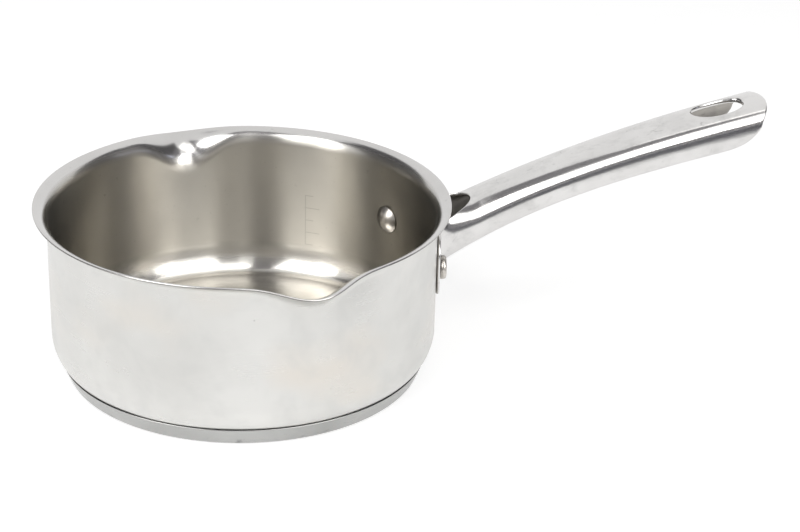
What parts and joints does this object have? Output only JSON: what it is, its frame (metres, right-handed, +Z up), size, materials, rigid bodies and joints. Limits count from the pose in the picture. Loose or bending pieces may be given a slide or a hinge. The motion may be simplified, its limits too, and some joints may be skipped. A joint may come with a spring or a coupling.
{
  "type": "saucepan",
  "caption": "Small steel saucepan with a flared lip, opposed pouring spouts, a capsule base and a hollow riveted handle with a hang hole.",
  "frame": {"origin": "centre of the base's flat underside", "axes": "+X along the handle, +Y towards one spout with the other at -Y, +Z up out of the pan"},
  "size_m": [0.3305, 0.1868, 0.0912],
  "materials": {
    "satin_steel": "satin",
    "core_aluminium": "matte",
    "base_steel": "turned",
    "polished_steel": "polished",
    "rivet_steel": "polished"
  },
  "bodies": {
    "root": {"pan_body": "satin_steel", "base_core": "core_aluminium", "base_cap": "base_steel", "handle": "polished_steel", "near_rivet": "rivet_steel", "far_rivet": "rivet_steel"}
  },
  "joints": []
}
